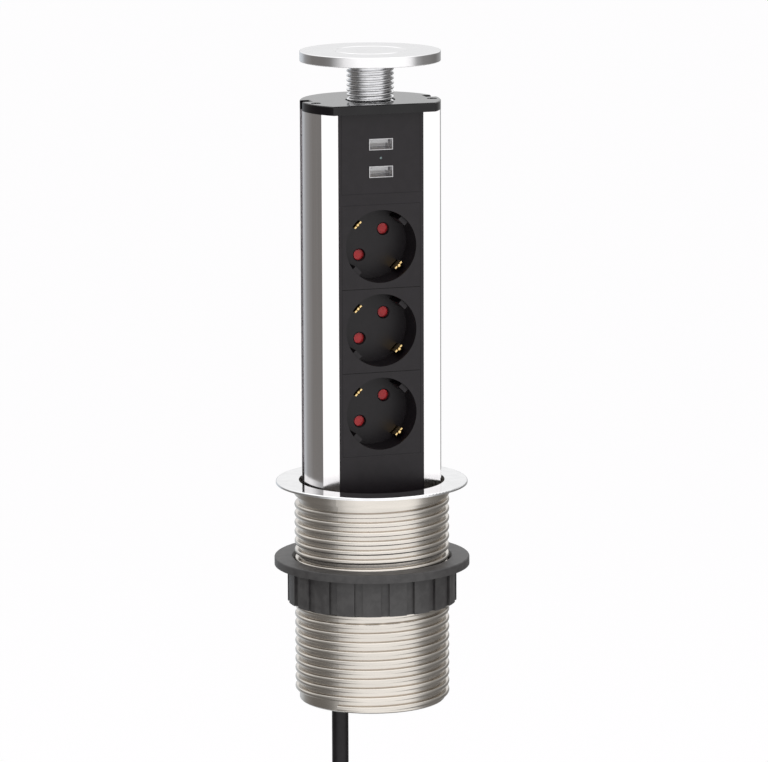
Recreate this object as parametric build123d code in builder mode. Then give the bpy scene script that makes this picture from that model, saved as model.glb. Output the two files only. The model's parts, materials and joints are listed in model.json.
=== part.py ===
from build123d import *
from math import atan, ceil, cos, pi, radians, sin, sqrt, tan
import os

# Pop-up socket tower for a worktop, shown pulled out to its full height.
# Millimetres, +Z up, the socket fronts face -Y.
# The origin is on the tower's axis, in the plane where the bezel lies on the worktop.

os.makedirs("parts", exist_ok=True)

# Clearances
slide_gap = 0.3
seat_gap = 0.1
hinge_gap = 0.08
module_gap = 0.1

# Bezel ring
bezel_hole_radius = 39.15
bezel_width = 12.35
bezel_thickness = 1.5
bezel_seat_depth = 0.5
bezel_recess = 3.4
bezel_edge = 0.8

# Mounting sleeve
sleeve_bore_radius = 37.95
sleeve_length = 118.5
sleeve_root_radius = 39.3
shoulder_radius = 41.6
shoulder_length = 6.0
shoulder_relief = 1.2
spigot_radius = 40.6
sleeve_pitch = 5.0
sleeve_plain_end = 0.9
sleeve_thread_turn = -135
sleeve_end_chamfer = 0.6
ridge_root_half = 1.65
ridge_crest_half = 1.15
ridge_crest_rise = 0.45
thread_bite = 0.3

# Clamp ring and nut under the worktop
worktop_thickness = 40.0
clamp_ring_width = 10.6
clamp_ring_thickness = 4.5
clamp_nut_radius = 45.5
clamp_nut_height = 19.6
clamp_lobes = 20
clamp_groove_width = 4.6
clamp_groove_depth = 1.5
clamp_bore_chamfer = 1.2
clamp_ring_edge = 0.8
nut_thread_margin = 1.0

# Guide ring
guide_flange_thickness = 2.0
guide_length = 24.0
guide_key_width = 6.2

# Tower
tower_radius = 37.4
tower_flat = 18.0
tower_wall = 1.7
groove_width = 7.0
groove_depth = 5.6
groove_y = 4.6
front_opening = 47.3
port_radius = 3.2
front_port = (32.2, -6.7)
rear_port = (21.0, 26.2)

# Top plate
plate_thickness = 4.8
plate_flat = 24.6
plate_hole_radius = 13.25
plate_edge = 0.4

# Cap and its button
cap_radius = 37.4
cap_thickness = 5.4
cap_gap = 20.8
cap_edge = 0.5
button_radius = 18.3
button_lift = 4.5
button_disc = 2.2
button_skirt = 1.6
button_edge = 0.5
pocket_edge = 0.8
cap_floor = 0.7
cap_proud = 0.2

# Threaded stem
stem_radius = 12.6
stem_root_radius = 11.15
stem_pitch = 2.5
stem_crest_rise = 0.55
stem_root_half = 1.15
stem_crest_half = 0.65
stem_thread_margin = 1.5
stem_flange_radius = 15.8
stem_flange_thickness = 1.2
stem_length = 40.2
stem_bore_radius = 5.2
stem_shoulder = 3.0
stem_chamber_radius = 8.0
stem_chamber_depth = 18.0
button_shank_radius = 2.9
spring_wire = 0.8
spring_turns = 7
stem_nut_radius = 14.3
stem_nut_thickness = 4.5
stem_nut_slot_width = 3.0
stem_nut_slot_depth = 1.5
stem_nut_slots = 4
shank_reach = 13.5
clip_radius = 5.6
clip_sheet = 0.8
clip_bite = 0.7
clip_opening = 3.0
latch_height = 6.0
latch_slot_depth = 4.0
latch_slot_width = 2.0

# Screws
screw_radius = 1.45
screw_head_radius = 2.65
screw_head_height = 1.6
screw_length = 12.0
screw_slot = (4.2, 0.6, 0.8)

# Front frame and its modules
frame_side_gap = 0.15
rail_width = 1.7
face_thickness = 3.4
frame_lip = 2.2
frame_lip_thickness = 1.5
module_flange = 1.3
socket_pitch = 45.0
socket_count = 3
lowest_socket = 40.3
strip_height = 5.8
usb_window = 43.1

# One socket
recess_radius = 19.5
recess_depth = 17.5
cup_wall = 1.7
cup_floor = 2.0
pin_spacing = 19.0
pin_hole_radius = 2.9
pin_lead_in = 0.6
rib_width = 4.8
rib_height = 2.6
rib_sink = 0.5
clip_width = 5.0
clip_thickness = 0.8
clip_inset = 3.6
clip_tip_depth = 3.8
clip_root_inset = 1.6
clip_tail = 6.0
clip_foot = 1.0
clip_nose_radius = 1.3
clip_nose_set = 0.4
rib_start = 2.0
shutter_thickness = 1.8
shutter_lobe_radius = 3.5
shutter_boss_radius = 1.5
shutter_chamber = 14.6
shutter_chamber_depth = 2.5
shutter_hub_radius = 3.2
shutter_bar_width = 4.0
housing_width = 42.0
housing_height = 43.0
housing_depth = 19.0
housing_corner = 4.0
contact_bore_radius = 2.5
contact_wall = 0.9
contact_length = 12.0
contact_slot = 1.2
contact_base = 1.0

# USB module
led_drop = 12.5
usb_spacing = 14.6
usb_width = 13.1
usb_height = 6.0
usb_depth = 14.0
usb_sheet = 0.35
usb_proud = 0.3
usb_tongue = (11.1, 1.9, 9.0)
tongue_rise = 1.0
tongue_root = 3.0
board_thickness = 1.6
board_width = 41.0
board_height = 28.4
board_drop = 0.9
leg_spacing = 17.0
leg_rise = 11.0
leg_radius = 2.2
led_radius = 0.6
transformer_size = (17.0, 19.0, 12.0)
transformer_x = -8.0
capacitor_radius = 4.0
capacitor_height = 11.0
capacitor_x = 9.0
capacitor_rise = 6.0

# Wiring
bar_width = 6.0
bar_thickness = 1.0
bar_spacing = 12.0
bar_bottom = 8.0
bar_top = 150.0
terminal_width = 36.0
terminal_depth = 16.0
terminal_height = 24.0
terminal_y = -4.0
terminal_hole_radius = 1.9
terminal_spacing = 11.0
terminal_corner = 1.5
wire_radius = 1.3
wire_bend = 3.0
core_spacing = 3.0
core_rise = 10.0

# Base
base_thickness = 6.0
base_skirt = 10.0
base_wall = 2.2
base_edge = 1.0
gland_position = (-14.0, 14.0)
gland_radius = 7.0
gland_flange_radius = 9.5
gland_flange = 2.0
boot_top_radius = 8.0
boot_end_radius = 5.3

# Mains cord: a straight drop, a tied coil and a short tail with the plug on it
cord_diameter = 9.0
cord_start_z = -68.0
cord_bend_z = -203.0
cord_lean_run = 48.0
cord_tail = 60.0
corner_share = 0.45
coil_mean_radius = 47.5
coil_step = 9.6
coil_whole_turns = 4
coil_segments = 18
coil_samples = 1000
tie_width = 9.0
tie_thickness = 1.2
tie_corner = 4.0

# Mains plug
plug_boot_length = 26.0
plug_grip_length = 22.0
plug_face_radius = 18.4
plug_face_length = 17.0
plug_pin_radius = 2.4
plug_pin_length = 19.0
plug_slot_width = 6.4
plug_slot_depth = 2.6
plug_contact_thickness = 0.8
plug_slot_end = 1.0
plug_pin_tip = 1.8
plug_boot_radius = 5.6
plug_neck_radius = 8.0
plug_guide_width = 5.4
plug_guide_depth = 3.0
plug_contact_width = 5.4
plug_contact_length = 12.0

# Heights and depths that follow
front_y = -tower_flat
bezel_radius = bezel_hole_radius + bezel_width
bezel_top = bezel_thickness
clamp_bore = shoulder_radius + slide_gap
clamp_ring_radius = clamp_bore + clamp_ring_width
frame_width = front_opening - 2 * frame_side_gap
socket_window_low = lowest_socket - socket_pitch / 2
socket_window_high = socket_window_low + socket_count * socket_pitch
usb_window_low = socket_window_high + strip_height
plate_bottom = usb_window_low + usb_window
plate_top = plate_bottom + plate_thickness
cap_bottom = plate_top + cap_gap
cap_top = cap_bottom + cap_thickness
web_top = cap_top - button_disc - slide_gap - stem_flange_thickness
flange_top = web_top + stem_flange_thickness
stem_bottom = flange_top - stem_length
led_height = stem_bottom - led_drop
travel = cap_top - bezel_top - cap_proud
guide_top = cap_bottom - travel - slide_gap
guide_bottom = guide_top - guide_length
tower_bottom = guide_bottom - slide_gap
sleeve_bottom = -sleeve_length
face_back = front_y + face_thickness
lip_front = front_y + tower_wall + seat_gap
module_width = frame_width - 2 * rail_width - 2 * module_gap
socket_heights = [lowest_socket + i * socket_pitch for i in range(socket_count)]
floor_y = front_y + recess_depth
cup_back = floor_y + cup_floor
pin_offset = pin_spacing / 2 / sqrt(2)
front_ports = [front_port, (-front_port[0], front_port[1])]
rear_ports = [rear_port, (-rear_port[0], rear_port[1])]


def front_plane(y):
    """Plane facing the viewer at this y, with X to the right and Z up."""
    return Plane.XZ.offset(-y)


def cut_flat(radius, flat):
    """Take the front of a round sketch away, beyond the flat."""
    with Locations((0, -flat - radius)):
        Rectangle(3 * radius, 2 * radius, mode=Mode.SUBTRACT)


def cut_side_grooves(depth, width):
    """Take the two guide grooves out of a round sketch."""
    for side in (-1, 1):
        with Locations((side * tower_radius, groove_y)):
            Rectangle(2 * depth, width, mode=Mode.SUBTRACT)


def ridge_profile(height, root_half, crest_half, crest_rise):
    """Section of an outside thread: straight flanks sunk in the core, and a round crest."""
    shoulder = height - crest_rise
    sunk_half = root_half + (root_half - crest_half) * thread_bite / shoulder
    with BuildLine() as outline:
        Polyline(
            (shoulder, crest_half),
            (-thread_bite, sunk_half),
            (-thread_bite, -sunk_half),
            (shoulder, -crest_half),
        )
        ThreePointArc((shoulder, -crest_half), (height, 0), (shoulder, crest_half))
    make_face(outline.edges())


# Bezel ring: thin polished ring that lies on the worktop
with BuildPart() as bezel_ring:
    with BuildSketch():
        Circle(bezel_radius)
        Circle(bezel_hole_radius, mode=Mode.SUBTRACT)
    extrude(amount=bezel_thickness)
    fillet(bezel_ring.edges().group_by(Axis.Z)[-1].sort_by(SortBy.RADIUS)[-1], bezel_edge)
    with BuildSketch():
        Circle(shoulder_radius + bezel_recess)
    extrude(amount=bezel_seat_depth, mode=Mode.SUBTRACT)
bezel_ring.part.label = "bezel_ring"
export_step(bezel_ring.part, "parts/bezel_ring.step")

# Mounting sleeve: a tube with a plain shoulder and a coarse right-hand thread, turned so
# that the thread starts at the front left
thread_bottom = sleeve_bottom + sleeve_plain_end + ridge_root_half
thread_top = -shoulder_length - shoulder_relief - ridge_root_half
guide_flange_bottom = guide_top - guide_flange_thickness
with BuildPart() as mounting_sleeve:
    with BuildSketch(Plane.XZ):
        with BuildLine():
            Polyline(
                (sleeve_bore_radius, sleeve_bottom),
                (sleeve_root_radius - sleeve_end_chamfer, sleeve_bottom),
                (sleeve_root_radius, sleeve_bottom + sleeve_end_chamfer),
                (sleeve_root_radius, -shoulder_length),
                (shoulder_radius, -shoulder_length),
                (shoulder_radius, 0),
                (spigot_radius, 0),
                (spigot_radius, bezel_seat_depth),
                (bezel_hole_radius, bezel_seat_depth),
                (bezel_hole_radius, guide_flange_bottom),
                (sleeve_bore_radius, guide_flange_bottom),
                close=True,
            )
        make_face()
    revolve(axis=Axis.Z)
    with BuildLine() as sleeve_helix:
        Helix(
            sleeve_pitch,
            thread_top - thread_bottom,
            sleeve_root_radius,
            center=(0, 0, thread_bottom),
        )
    helix_start = Plane(
        origin=sleeve_helix.line @ 0, x_dir=(1, 0, 0), z_dir=sleeve_helix.line % 0
    )
    ridge_height = shoulder_radius - sleeve_root_radius
    with BuildSketch(helix_start):
        ridge_profile(ridge_height, ridge_root_half, ridge_crest_half, ridge_crest_rise)
    sweep(path=sleeve_helix.line, is_frenet=True)
turned_sleeve = mounting_sleeve.part.rotate(Axis.Z, sleeve_thread_turn)
turned_sleeve.label = "mounting_sleeve"
export_step(turned_sleeve, "parts/mounting_sleeve.step")

# Guide ring: a flange in the sleeve's mouth, a block in front of the flat and two keys
guide_flat = plate_flat + slide_gap + seat_gap
key_inner = tower_radius - groove_depth + slide_gap + seat_gap
with BuildPart() as guide_ring:
    with BuildSketch(Plane.XY.offset(guide_flange_bottom)):
        Circle(bezel_hole_radius - seat_gap)
        Circle(tower_radius + slide_gap, mode=Mode.SUBTRACT)
    extrude(amount=guide_flange_thickness)
    with BuildSketch(Plane.XY.offset(guide_bottom)):
        Circle(sleeve_bore_radius - seat_gap)
        with Locations((0, sleeve_bore_radius - guide_flat)):
            Rectangle(3 * sleeve_bore_radius, 2 * sleeve_bore_radius, mode=Mode.SUBTRACT)
    extrude(amount=guide_length)
    with BuildSketch(Plane.XY.offset(guide_bottom)):
        with Locations((0, groove_y)):
            Rectangle(2 * sleeve_bore_radius, guide_key_width)
            Rectangle(2 * key_inner, 2 * guide_key_width, mode=Mode.SUBTRACT)
        Circle(sleeve_bore_radius - seat_gap, mode=Mode.INTERSECT)
    extrude(amount=guide_length)
guide_ring.part.label = "guide_ring"
export_step(guide_ring.part, "parts/guide_ring.step")

# Clamp ring: pressed up against the worktop's underside
clamp_ring_bottom = -worktop_thickness - clamp_ring_thickness
with BuildPart() as clamp_ring:
    with BuildSketch(Plane.XY.offset(clamp_ring_bottom)):
        Circle(clamp_ring_radius)
        Circle(clamp_bore, mode=Mode.SUBTRACT)
    extrude(amount=clamp_ring_thickness)
    top_edges = clamp_ring.edges().group_by(Axis.Z)[-1].sort_by(SortBy.RADIUS)
    chamfer(top_edges[0], clamp_bore_chamfer)
    fillet(top_edges[-1], clamp_ring_edge)
clamp_ring.part.label = "clamp_ring"
export_step(clamp_ring.part, "parts/clamp_ring.step")

# Clamp nut: a lobed nut whose thread runs in the sleeve's grooves with clearance
nut_top = clamp_ring_bottom - seat_gap
nut_bottom = nut_top - clamp_nut_height
nut_ridge_low = nut_bottom + nut_thread_margin + sleeve_pitch / 2
thread_zero = thread_bottom - sleeve_pitch * sleeve_thread_turn / 360
turns_up = ceil((nut_ridge_low - thread_zero) / sleeve_pitch - 1 / 2)
nut_thread_start = thread_zero + sleeve_pitch / 2 + turns_up * sleeve_pitch
nut_thread_height = nut_top - nut_thread_margin - sleeve_pitch / 2 - nut_thread_start
flank_slope = (ridge_root_half - ridge_crest_half) / (ridge_height - ridge_crest_rise)
nut_root_half = sleeve_pitch / 2 - ridge_crest_half - slide_gap
nut_crest_half = nut_root_half - flank_slope * ridge_height
with BuildPart() as clamp_nut:
    with BuildSketch(Plane.XY.offset(nut_bottom)):
        Circle(clamp_nut_radius)
        Circle(clamp_bore, mode=Mode.SUBTRACT)
        with PolarLocations(clamp_nut_radius, clamp_lobes, start_angle=180 / clamp_lobes):
            Rectangle(2 * clamp_groove_depth, clamp_groove_width, mode=Mode.SUBTRACT)
    extrude(amount=clamp_nut_height)
    with BuildLine() as nut_helix:
        Helix(sleeve_pitch, nut_thread_height, clamp_bore, center=(0, 0, nut_thread_start))
    nut_helix_start = Plane(
        origin=nut_helix.line @ 0, x_dir=(1, 0, 0), z_dir=nut_helix.line % 0
    )
    with BuildSketch(nut_helix_start):
        with BuildLine():
            Polyline(
                (thread_bite, -nut_root_half - flank_slope * thread_bite),
                (-ridge_height, -nut_crest_half),
                (-ridge_height, nut_crest_half),
                (thread_bite, nut_root_half + flank_slope * thread_bite),
                close=True,
            )
        make_face()
    sweep(path=nut_helix.line, is_frenet=True)
clamp_nut.part.label = "clamp_nut"
export_step(clamp_nut.part, "parts/clamp_nut.step")

# Tower profile: D-shaped extrusion, open in front for the socket modules
tower_height = plate_bottom - tower_bottom
with BuildPart() as tower_profile:
    with BuildSketch(Plane.XY.offset(tower_bottom)):
        Circle(tower_radius)
        cut_flat(tower_radius, tower_flat)
        cut_side_grooves(groove_depth, groove_width)
        with BuildSketch(mode=Mode.SUBTRACT):
            Circle(tower_radius - tower_wall)
            cut_flat(tower_radius, tower_flat - tower_wall)
            cut_side_grooves(groove_depth + tower_wall, groove_width + 2 * tower_wall)
        with Locations((0, front_y)):
            Rectangle(front_opening, 3 * tower_wall, mode=Mode.SUBTRACT)
        with Locations(*front_ports, *rear_ports):
            Circle(port_radius)
        cut_side_grooves(groove_depth, groove_width)
        with Locations(*front_ports, *rear_ports):
            Circle(screw_radius + seat_gap, mode=Mode.SUBTRACT)
    extrude(amount=tower_height)
tower_profile.part.label = "tower_profile"
export_step(tower_profile.part, "parts/tower_profile.step")

# Top plate: glossy plate screwed on the profile, with the stem's hole
with BuildPart() as top_plate:
    with BuildSketch(Plane.XY.offset(plate_bottom)):
        Circle(tower_radius)
        cut_flat(tower_radius, plate_flat)
        cut_side_grooves(groove_depth, groove_width)
        Circle(plate_hole_radius, mode=Mode.SUBTRACT)
    extrude(amount=plate_thickness)
    chamfer(top_plate.faces().sort_by(Axis.Z)[-1].outer_wire().edges(), plate_edge)
    with Locations(Plane.XY.offset(plate_top)):
        with Locations(*front_ports):
            CounterBoreHole(
                screw_radius + seat_gap,
                screw_head_radius + seat_gap,
                screw_head_height + plate_edge,
            )
top_plate.part.label = "top_plate"
export_step(top_plate.part, "parts/top_plate.step")


def screw(head_top, places, down=True):
    """Pan-head screws with a cross slot, one at each place."""
    slot_length, slot_width, slot_depth = screw_slot
    from_head = (Align.CENTER, Align.CENTER, Align.MAX if down else Align.MIN)
    with BuildPart() as screws:
        with Locations(*[(x, y, head_top) for x, y in places]):
            Cylinder(screw_head_radius, screw_head_height, align=from_head)
            Cylinder(screw_radius, screw_length, align=from_head)
            Box(slot_length, slot_width, slot_depth, align=from_head, mode=Mode.SUBTRACT)
            Box(slot_width, slot_length, slot_depth, align=from_head, mode=Mode.SUBTRACT)
    return screws.part


# Screws that hold the top plate to the profile's front ports
plate_screws = screw(plate_top - plate_edge, front_ports)
plate_screws.label = "plate_screws"
export_step(plate_screws, "parts/plate_screws.step")

# Threaded stem: hollow, carries the cap and guides its button
stem_thread_bottom = plate_bottom + stem_thread_margin
chamber_top = stem_bottom + stem_chamber_depth
bore_bottom = chamber_top + stem_shoulder
shank_hole_radius = button_shank_radius + slide_gap
with BuildPart() as threaded_stem:
    with BuildSketch(Plane.XZ):
        with BuildLine():
            Polyline(
                (stem_chamber_radius, stem_bottom),
                (stem_root_radius, stem_bottom),
                (stem_root_radius, web_top),
                (stem_flange_radius, web_top),
                (stem_flange_radius, flange_top),
                (stem_bore_radius, flange_top),
                (stem_bore_radius, bore_bottom),
                (shank_hole_radius, bore_bottom),
                (shank_hole_radius, chamber_top),
                (stem_chamber_radius, chamber_top),
                close=True,
            )
        make_face()
    revolve(axis=Axis.Z)
    stem_rise = stem_radius - stem_root_radius
    with BuildLine() as stem_helix:
        Helix(
            stem_pitch,
            cap_bottom - seat_gap - stem_root_half - stem_thread_bottom,
            stem_root_radius,
            center=(0, 0, stem_thread_bottom),
        )
    stem_helix_start = Plane(
        origin=stem_helix.line @ 0, x_dir=(1, 0, 0), z_dir=stem_helix.line % 0
    )
    with BuildSketch(stem_helix_start):
        ridge_profile(stem_rise, stem_root_half, stem_crest_half, stem_crest_rise)
    sweep(path=stem_helix.line, is_frenet=True)
threaded_stem.part.label = "threaded_stem"
export_step(threaded_stem.part, "parts/threaded_stem.step")

# Round nut that holds the stem up against the top plate's underside
with BuildPart() as stem_nut:
    with BuildSketch(Plane.XY.offset(plate_bottom - stem_nut_thickness)):
        Circle(stem_nut_radius)
        Circle(stem_root_radius + seat_gap, mode=Mode.SUBTRACT)
        with PolarLocations(stem_nut_radius, stem_nut_slots):
            Rectangle(2 * stem_nut_slot_depth, stem_nut_slot_width, mode=Mode.SUBTRACT)
    extrude(amount=stem_nut_thickness)
stem_nut.part.label = "stem_nut"
export_step(stem_nut.part, "parts/stem_nut.step")

# Cap: satin disc with a pocket for the button; it closes the bezel when pushed down
pocket_radius = button_radius + slide_gap
skirt_inner = button_radius - button_skirt
web_radius = skirt_inner - slide_gap
with BuildPart() as cap:
    with BuildSketch(Plane.XY.offset(cap_bottom)):
        Circle(cap_radius)
    extrude(amount=cap_thickness)
    fillet(cap.edges().group_by(Axis.Z)[-1], cap_edge)
    fillet(cap.edges().group_by(Axis.Z)[0], cap_edge / 2)
    with BuildSketch(Plane.XZ):
        with BuildLine():
            Polyline(
                (0, cap_top),
                (pocket_radius + pocket_edge, cap_top),
                (pocket_radius, cap_top - pocket_edge),
                (pocket_radius, cap_bottom + cap_floor),
                (web_radius, cap_bottom + cap_floor),
                (web_radius, web_top),
                (stem_root_radius + seat_gap, web_top),
                (stem_root_radius + seat_gap, cap_bottom),
                (0, cap_bottom),
                close=True,
            )
        make_face()
    revolve(axis=Axis.Z, mode=Mode.SUBTRACT)
cap.part.label = "cap"
export_step(cap.part, "parts/cap.step")

# Cap button: skirted disc on a shank that slides in the stem
skirt_bottom = cap_bottom + cap_floor + slide_gap
shank_bottom = chamber_top - shank_reach
clip_top = chamber_top - button_lift - slide_gap
clip_groove_radius = button_shank_radius - clip_bite
with BuildPart() as cap_button:
    with BuildSketch(Plane.XZ):
        with BuildLine():
            Polyline(
                (0, cap_top),
                (button_radius - button_edge, cap_top),
                (button_radius, cap_top - button_edge),
                (button_radius, skirt_bottom),
                (skirt_inner, skirt_bottom),
                (skirt_inner, cap_top - button_disc),
                (button_shank_radius, cap_top - button_disc),
                (button_shank_radius, clip_top),
                (clip_groove_radius, clip_top),
                (clip_groove_radius, clip_top - clip_sheet),
                (button_shank_radius, clip_top - clip_sheet),
                (button_shank_radius, shank_bottom),
                (0, shank_bottom),
                close=True,
            )
        make_face()
    revolve(axis=Axis.Z)
cap_button.part.label = "cap_button"
export_step(cap_button.part, "parts/cap_button.step")

# Retaining clip in the shank's groove: it stops the button at the top of its stroke
with BuildPart() as button_clip:
    with BuildSketch(Plane.XY.offset(clip_top - clip_sheet)):
        Circle(clip_radius)
        Circle(clip_groove_radius, mode=Mode.SUBTRACT)
        with Locations((clip_radius, 0)):
            Rectangle(2 * clip_radius, clip_opening, mode=Mode.SUBTRACT)
    extrude(amount=clip_sheet)
button_clip.part.label = "button_clip"
export_step(button_clip.part, "parts/button_clip.step")

# Button spring: round the shank, between the stem's inner shoulder and the button
spring_radius = (stem_bore_radius + button_shank_radius) / 2
spring_bottom = bore_bottom + spring_wire / 2 + seat_gap
spring_top = cap_top - button_disc - spring_wire / 2 - seat_gap
with BuildPart() as button_spring:
    with BuildLine() as spring_line:
        Helix(
            (spring_top - spring_bottom) / spring_turns,
            spring_top - spring_bottom,
            spring_radius,
            center=(0, 0, spring_bottom),
        )
    with BuildSketch(Plane(spring_line.line @ 0, z_dir=spring_line.line % 0)):
        Circle(spring_wire / 2)
    sweep(path=spring_line.line, is_frenet=True)
button_spring.part.label = "button_spring"
export_step(button_spring.part, "parts/button_spring.step")

# Latch sleeve in the stem's chamber: its slots hold the clip down until the next push
latch_top = clip_top - clip_sheet - slide_gap
with BuildPart() as latch_sleeve:
    with BuildSketch(Plane.XY.offset(latch_top - latch_height)):
        Circle(stem_chamber_radius)
        Circle(shank_hole_radius, mode=Mode.SUBTRACT)
    extrude(amount=latch_height)
    with BuildSketch(Plane.XY.offset(latch_top - latch_slot_depth)):
        Rectangle(3 * stem_chamber_radius, latch_slot_width)
        Circle(stem_chamber_radius, mode=Mode.INTERSECT)
        Circle(shank_hole_radius, mode=Mode.SUBTRACT)
    extrude(amount=latch_slot_depth, mode=Mode.SUBTRACT)
latch_sleeve.part.label = "latch_sleeve"
export_step(latch_sleeve.part, "parts/latch_sleeve.step")

# Front frame: one black moulding with a USB window, a row of socket windows
# and a blank panel at the foot
frame_middle = (plate_bottom + tower_bottom) / 2
with BuildPart() as front_frame:
    with BuildSketch(front_plane(front_y)):
        with Locations((0, frame_middle)):
            Rectangle(frame_width, tower_height - 2 * seat_gap)
    extrude(amount=-face_thickness)
    with BuildSketch(front_plane(lip_front)):
        with Locations((0, frame_middle)):
            Rectangle(frame_width + 2 * frame_lip, tower_height - 2 * seat_gap)
    extrude(amount=-frame_lip_thickness)
    with BuildSketch(front_plane(front_y)):
        with Locations((0, (socket_window_low + socket_window_high) / 2)):
            Rectangle(frame_width - 2 * rail_width, socket_count * socket_pitch)
        with Locations((0, (usb_window_low + plate_bottom) / 2)):
            Rectangle(frame_width - 2 * rail_width, plate_bottom - usb_window_low)
    extrude(amount=-2 * face_thickness, mode=Mode.SUBTRACT)
front_frame.part.label = "front_frame"
export_step(front_frame.part, "parts/front_frame.step")


def module_face(low, high):
    """Face of a module in the frame's window, with a flange behind the frame."""
    height = high - low - 2 * module_gap
    with BuildSketch(front_plane(front_y)) as face:
        with Locations((0, (low + high) / 2)):
            Rectangle(module_width, height)
    extrude(face.sketch, amount=-(face_thickness + module_flange))
    with BuildSketch(front_plane(face_back + seat_gap)) as flange:
        with Locations((0, (low + high) / 2)):
            Rectangle(frame_width, height)
    extrude(flange.sketch, amount=-module_flange)


# USB faceplate: two port openings, the light's hole and four legs for the board
board_front = front_y + usb_depth
board_middle = stem_bottom - board_drop - board_height / 2
leg_places = [
    (side * leg_spacing, board_middle + end * leg_rise) for side in (-1, 1) for end in (-1, 1)
]
usb_heights = [led_height + usb_spacing / 2, led_height - usb_spacing / 2]
with BuildPart() as usb_faceplate:
    module_face(usb_window_low, plate_bottom)
    with BuildSketch(front_plane(face_back)):
        with Locations(*leg_places):
            Circle(leg_radius)
    extrude(amount=-(board_front - face_back))
    with BuildSketch(front_plane(front_y)):
        with Locations(*[(0, height) for height in usb_heights]):
            Rectangle(usb_width + 2 * seat_gap, usb_height + 2 * seat_gap)
        with Locations((0, led_height)):
            Circle(led_radius + seat_gap)
    extrude(amount=-2 * face_thickness, mode=Mode.SUBTRACT)
    with BuildSketch(Plane.XY.offset(plate_bottom)):
        Circle(stem_nut_radius + slide_gap)
    extrude(amount=-(stem_nut_thickness + slide_gap), mode=Mode.SUBTRACT)
usb_faceplate.part.label = "usb_faceplate"
export_step(usb_faceplate.part, "parts/usb_faceplate.step")

# USB port shells: folded sheet boxes soldered to the board
for name, height in zip(("usb_shell_upper", "usb_shell_lower"), usb_heights):
    with BuildPart() as usb_shell:
        with BuildSketch(front_plane(front_y - usb_proud)):
            with Locations((0, height)):
                Rectangle(usb_width, usb_height)
                Rectangle(
                    usb_width - 2 * usb_sheet, usb_height - 2 * usb_sheet, mode=Mode.SUBTRACT
                )
        extrude(amount=-(usb_depth + usb_proud))
    usb_shell.part.label = name
    export_step(usb_shell.part, f"parts/{name}.step")

# Tongues inside the ports, one solid in each
tongue_width, tongue_height, tongue_length = usb_tongue
with BuildPart() as usb_tongues:
    for height in usb_heights:
        with BuildSketch(front_plane(board_front)):
            with Locations((0, height + tongue_rise)):
                Rectangle(tongue_width, tongue_height)
        extrude(amount=tongue_length)
        with BuildSketch(front_plane(board_front)):
            with Locations((0, height)):
                Rectangle(
                    usb_width - 2 * usb_sheet - 2 * seat_gap,
                    usb_height - 2 * usb_sheet - 2 * seat_gap,
                )
        extrude(amount=tongue_root)
usb_tongues.part.label = "usb_tongues"
export_step(usb_tongues.part, "parts/usb_tongues.step")

# USB circuit board with its transformer and two capacitors
transformer_width, transformer_height, transformer_depth = transformer_size
with BuildPart() as usb_board:
    with BuildSketch(front_plane(board_front)):
        with Locations((0, board_middle)):
            Rectangle(board_width, board_height)
    extrude(amount=-board_thickness)
    with BuildSketch(front_plane(board_front + board_thickness)):
        with Locations((transformer_x, board_middle)):
            Rectangle(transformer_width, transformer_height)
    extrude(amount=-transformer_depth)
    with BuildSketch(front_plane(board_front + board_thickness)):
        with Locations(*[(capacitor_x, board_middle + end * capacitor_rise) for end in (-1, 1)]):
            Circle(capacitor_radius)
    extrude(amount=-capacitor_height)
usb_board.part.label = "usb_board"
export_step(usb_board.part, "parts/usb_board.step")

# Light pipe of the charging light
with BuildPart() as light_pipe:
    with BuildSketch(front_plane(front_y)):
        with Locations((0, led_height)):
            Circle(led_radius)
    extrude(amount=-usb_depth)
light_pipe.part.label = "light_pipe"
export_step(light_pipe.part, "parts/light_pipe.step")

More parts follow.
